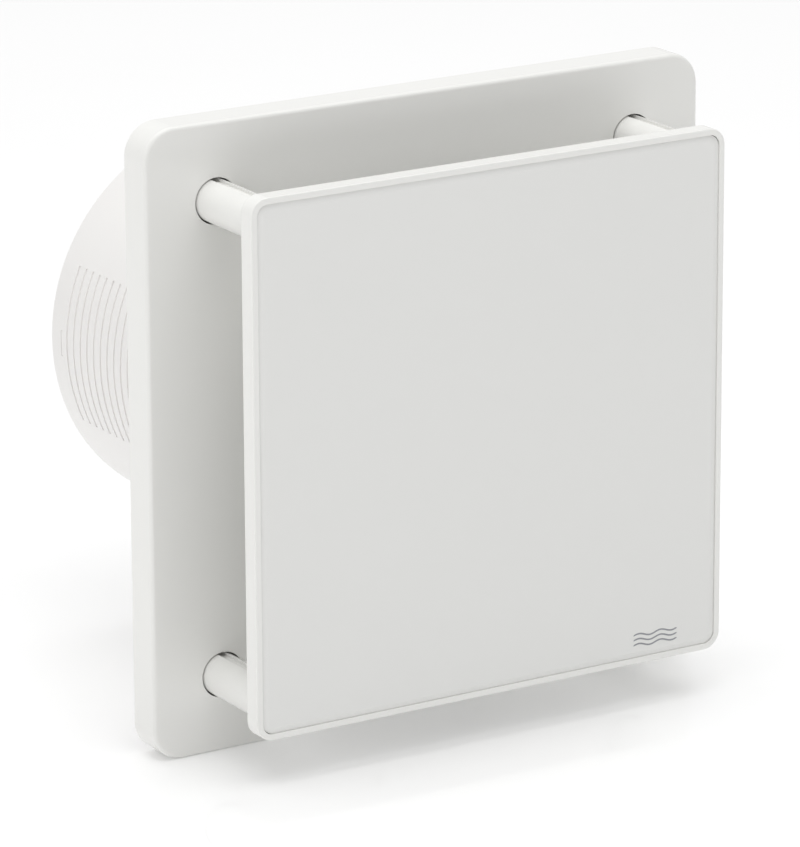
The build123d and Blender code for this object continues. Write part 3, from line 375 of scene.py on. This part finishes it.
def airflow_mark():
    """Three printed waves of equal length, one above another, that stand for moving air."""
    low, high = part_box("front_panel")
    length, pitch, swell, weight, steps = 19.0 * MM, 1.9 * MM, 0.55 * MM, 0.3 * MM, 48
    middle_x, middle_z = high.x - 26.0 * MM, low.z + 6.6 * MM
    back_y = low.y - 0.01 * MM
    front_y = back_y - 0.04 * MM
    shape = bmesh.new()
    for wave in (-1, 0, 1):
        rings = []
        for step in range(steps + 1):
            along = step / steps
            swing = along * 4 * math.pi
            x = middle_x + (along - 0.5) * length
            z = middle_z + wave * pitch + swell * math.sin(swing)
            slope = swell * 4 * math.pi / length * math.cos(swing)
            side = Vector((-slope, 0, 1)).normalized()
            half = weight * min(1.0, 0.25 + 4 * math.sqrt(along * (1 - along)))
            top = half * 0.9
            corners = ((back_y, -half), (back_y, half), (front_y, top), (front_y, -top))
            rings.append([shape.verts.new(Vector((x, y, z)) + side * reach) for y, reach in corners])
        for first, second in zip(rings, rings[1:]):
            for corner in range(4):
                after = (corner + 1) % 4
                shape.faces.new((first[corner], first[after], second[after], second[corner]))
        shape.faces.new(rings[0][::-1])
        shape.faces.new(rings[-1])
    bmesh.ops.recalc_face_normals(shape, faces=shape.faces)
    mesh = bpy.data.meshes.new("airflow_mark")
    shape.to_mesh(mesh)
    shape.free()
    linked("airflow_mark", mesh, "cover", "grey_plastic")


airflow_mark()


# ---------------------------------------------------------------- stage, light and camera

plate_low, plate_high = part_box("base_plate")
plate_side = plate_high.x - plate_low.x


def flat(name, size, height):
    """A level square sheet."""
    made = bpy.data.meshes.new(name)
    half = size / 2
    corners = [(x * half, y * half, height) for x, y in ((-1, -1), (1, -1), (1, 1), (-1, 1))]
    made.from_pydata(corners, [], [(0, 1, 2, 3)])
    thing = bpy.data.objects.new(name, made)
    bpy.context.scene.collection.objects.link(thing)
    return thing


FLOOR_SIDE = 30.0
FLOOR_GAP = 0.00005
floor = flat("floor", FLOOR_SIDE, plate_low.z - FLOOR_GAP)
floor_finish, floor_board, floor_shader, floor_place = blank("pale_floor")
floor_tone = floor_board.reach(floor_board.noise(floor_place, 3.0), 0.3, 0.7, 0.93, 0.94)
floor_color = floor_board.place("ShaderNodeCombineColor")
for channel in ("Red", "Green", "Blue"):
    floor_board.join(floor_tone, floor_color.inputs[channel])
floor_board.feed(floor_shader, Base_Color=floor_color.outputs[0], Roughness=0.04, IOR=1.5,
                 Emission_Color=(1.0, 1.0, 1.0, 1), Emission_Strength=0.12)
# Seen from below, the floor is clear, so that the object's underside shows
floor_mix = floor_board.place("ShaderNodeMixShader")
floor_board.join(floor_board.place("ShaderNodeNewGeometry").outputs["Backfacing"], floor_mix.inputs[0])
floor_board.join(floor_shader.outputs[0], floor_mix.inputs[1])
floor_board.join(floor_board.place("ShaderNodeBsdfTransparent").outputs[0], floor_mix.inputs[2])
floor_board.join(floor_mix.outputs[0], floor_finish.node_tree.nodes["Material Output"].inputs["Surface"])
floor.data.materials.append(floor_finish)

FRONT_GLOW = 0.52
REAR_GLOW = 0.73
world = bpy.data.worlds.new("studio")
world.use_nodes = True
sky = Board(world.node_tree)
facing = sky.place("ShaderNodeSeparateXYZ")
sky.join(sky.place("ShaderNodeTexCoord").outputs["Generated"], facing.inputs[0])
backdrop = world.node_tree.nodes["Background"]
sky.feed(backdrop, Color=(1.0, 1.0, 1.0, 1),
         Strength=sky.reach(facing.outputs["Y"], -1.0, 1.0, FRONT_GLOW, REAR_GLOW))
bpy.context.scene.world = world


def soft_light(name, place, aim, size, power):
    data = bpy.data.lights.new(name, "AREA")
    data.shape = "DISK"
    data.size = size
    data.energy = power
    lamp = bpy.data.objects.new(name, data)
    lamp.location = place
    lamp.rotation_euler = (Vector(aim) - Vector(place)).to_track_quat("-Z", "Y").to_euler()
    bpy.context.scene.collection.objects.link(lamp)


soft_light("top_light", (0.0, -0.5, 3.5), (0, -0.5, 0), 4.0, 74.0)
soft_light("left_light", (-1.63, -0.59, 0.47), (0, 0, 0), 1.2, 3.2)

VIEW_AZIMUTH = math.radians(-31.598)
VIEW_ELEVATION = math.radians(16.634)
VIEW_ROLL = math.radians(-0.271)
VIEW_DISTANCE = 8.847 * plate_side
VIEW_TARGET = Vector((-0.0542 * plate_side, plate_low.y, -0.0245 * plate_side))

back = Vector((math.sin(VIEW_AZIMUTH) * math.cos(VIEW_ELEVATION),
               -math.cos(VIEW_AZIMUTH) * math.cos(VIEW_ELEVATION), math.sin(VIEW_ELEVATION)))
right = Vector((math.cos(VIEW_AZIMUTH), math.sin(VIEW_AZIMUTH), 0))
down = right.cross(back)
right, down = (right * math.cos(VIEW_ROLL) - down * math.sin(VIEW_ROLL),
               right * math.sin(VIEW_ROLL) + down * math.cos(VIEW_ROLL))
lens = bpy.data.cameras.new("camera")
lens.lens = 242.17  # mm, with the sensor's width
lens.sensor_width = 36.0
lens.clip_start = 0.05
lens.clip_end = 60.0
camera = bpy.data.objects.new("camera", lens)
turned = Matrix((right, -down, back)).transposed().to_4x4()
camera.matrix_world = Matrix.Translation(VIEW_TARGET + back * VIEW_DISTANCE) @ turned
bpy.context.scene.collection.objects.link(camera)
bpy.context.scene.camera = camera

bpy.context.scene.view_settings.view_transform = "Standard"
bpy.context.scene.view_settings.look = "None"
